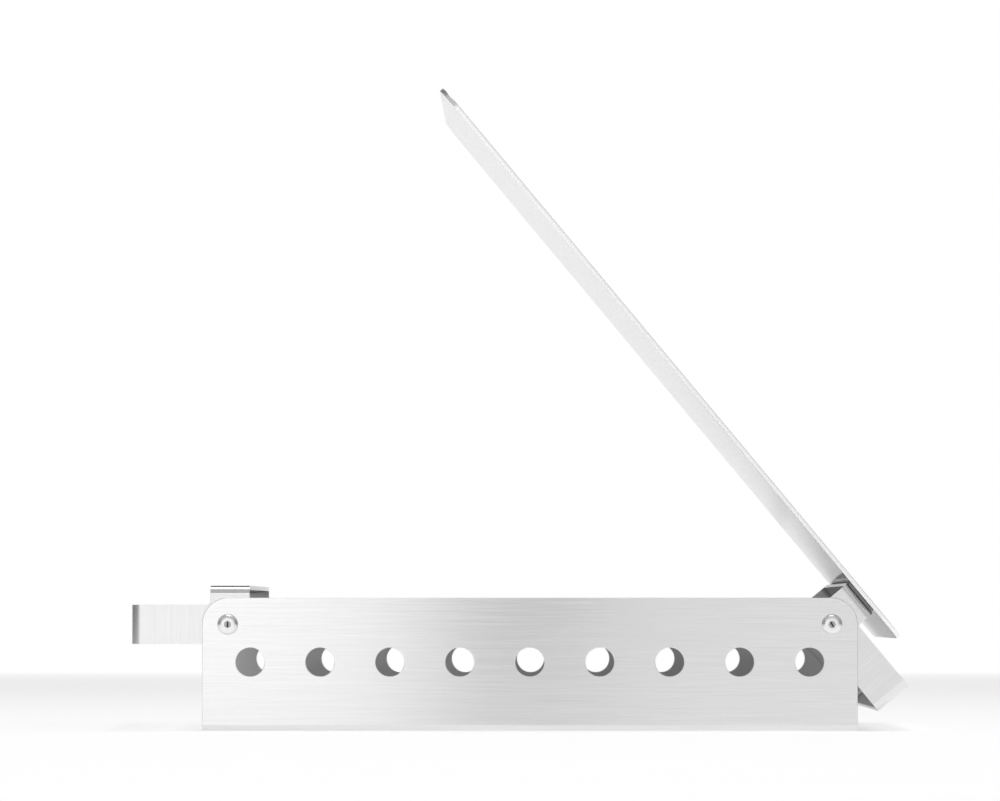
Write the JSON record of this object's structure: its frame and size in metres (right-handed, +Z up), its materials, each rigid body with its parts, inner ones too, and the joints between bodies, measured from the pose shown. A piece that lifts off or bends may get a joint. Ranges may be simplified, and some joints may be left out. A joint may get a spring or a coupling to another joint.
{
  "type": "laptop stand",
  "caption": "Folding laptop stand: ventilated sheet-metal channel base, hinged flat support plate at one end and a swinging handle loop at the other.",
  "frame": {"origin": "centre of the flat underside of the base channel, on the surface it stands on", "axes": "+X along the base towards the hinged end of the support plate, +Y to the rear across the base, +Z up"},
  "size_m": [0.3559, 0.2454, 0.2956],
  "materials": {
    "brushed_sheet": "brushed along the length, satin",
    "brushed_strip": "brushed across the strip, satin",
    "bright_steel": "polished fasteners",
    "nylon": "natural nylon",
    "grey_foam_tape": "grey acrylic foam tape"
  },
  "bodies": {
    "base": {"base_channel": "brushed_sheet", "pivot_screw_front_left": "bright_steel", "pivot_screw_rear_left": "bright_steel", "pivot_screw_front_right": "bright_steel", "pivot_screw_rear_right": "bright_steel", "friction_washer_front_left": "nylon", "friction_washer_rear_left": "nylon", "friction_washer_front_right": "nylon", "friction_washer_rear_right": "nylon", "inner_washer_front_left": "bright_steel", "inner_washer_rear_left": "bright_steel", "inner_washer_front_right": "bright_steel", "inner_washer_rear_right": "bright_steel", "lock_nut_front_left": "bright_steel", "lock_nut_rear_left": "bright_steel", "lock_nut_front_right": "bright_steel", "lock_nut_rear_right": "bright_steel"},
    "plate_arm": {"rocker_right": "brushed_strip", "bonding_tape": "grey_foam_tape", "support_plate": "brushed_sheet"},
    "handle_arm": {"rocker_left": "brushed_strip"}
  },
  "joints": [
    {"name": "plate_hinge", "type": "hinge", "parent": "base", "child": "plate_arm", "pos_m": [0.13825, 0, 0.0488], "axis": [0, 1, 0], "range_deg": [-50.2, 49.8]},
    {"name": "handle_hinge", "type": "hinge", "parent": "base", "child": "handle_arm", "pos_m": [-0.13825, 0, 0.0488], "axis": [0, -1, 0], "range_deg": [0, 180]}
  ]
}
